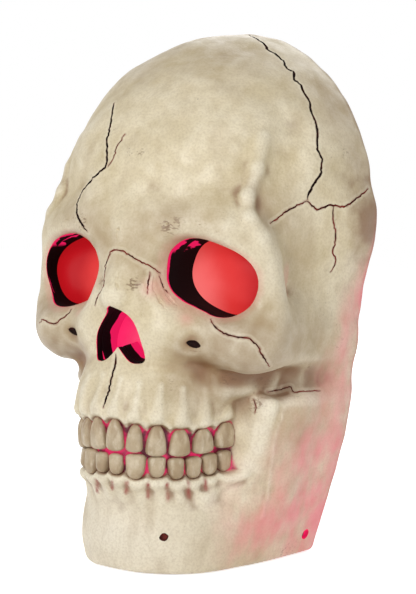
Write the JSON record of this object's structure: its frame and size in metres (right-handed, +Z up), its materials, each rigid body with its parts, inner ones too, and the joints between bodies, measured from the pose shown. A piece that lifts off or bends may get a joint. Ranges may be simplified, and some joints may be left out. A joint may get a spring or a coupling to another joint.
{
  "type": "halloween skull decoration",
  "caption": "Hollow half-skull decoration with a flat back and base, red-lit eye and nose openings, and a back panel with a hinged battery door and a slide switch.",
  "frame": {"origin": "centre of the bounding box in plan, on the plane of the flat base", "axes": "+Z up, -Y the way the face looks, +X to the right of someone who looks at the face"},
  "size_m": [0.1888, 0.1288, 0.3028],
  "materials": {
    "bone": "translucent bone-coloured moulding with brown airbrushed shading",
    "black_plastic": "matt black",
    "red_lens": "translucent red, lit from behind",
    "magenta_pane": "translucent magenta, lit from behind",
    "panel_grey": "fine texture",
    "steel": "zinc plated",
    "cell_skin": "plain printed sleeve with no text",
    "board_green": "solder mask",
    "lead_red": "soft insulation",
    "lead_black": "soft insulation"
  },
  "bodies": {
    "skull": {"skull_shell": "bone", "eye_liner_left": "black_plastic", "eye_liner_right": "black_plastic", "eye_lens_left": "red_lens", "eye_lens_right": "red_lens", "nose_liner": "black_plastic", "nose_pane": "magenta_pane", "back_panel": "panel_grey", "panel_screw_1": "steel", "panel_screw_2": "steel", "panel_screw_3": "steel", "panel_screw_4": "steel", "panel_screw_5": "steel", "panel_screw_6": "steel", "hinge_pin": "steel", "battery_tray": "black_plastic", "tray_screw_1": "steel", "tray_screw_2": "steel", "tray_screw_3": "steel", "tray_screw_4": "steel", "cell_1": "cell_skin", "cell_2": "cell_skin", "cell_3": "cell_skin", "contact_spring_1": "steel", "contact_spring_2": "steel", "contact_spring_3": "steel", "contact_plate_1": "steel", "contact_plate_2": "steel", "contact_plate_3": "steel", "lamp_base": "black_plastic", "lamp_screw_1": "steel", "lamp_screw_2": "steel", "lamp_board": "board_green", "led_1": "red_lens", "led_2": "red_lens", "led_3": "red_lens", "led_4": "red_lens", "led_5": "red_lens", "lamp_dome": "red_lens", "switch_body": "steel", "lead_tray_to_switch": "lead_red", "lead_switch_to_lamp": "lead_red", "lead_tray_to_lamp": "lead_black"},
    "door": {"battery_door": "panel_grey"},
    "slider": {"switch_slider": "black_plastic"}
  },
  "joints": [
    {"name": "battery_door_hinge", "type": "hinge", "parent": "skull", "child": "door", "pos_m": [0, 0.06245, 0.1089], "axis": [-1, 0, 0], "range_deg": [0, 110]},
    {"name": "switch_slide", "type": "slide", "parent": "skull", "child": "slider", "axis": [0, 0, 1], "range_m": [-0.004, 0]}
  ]
}
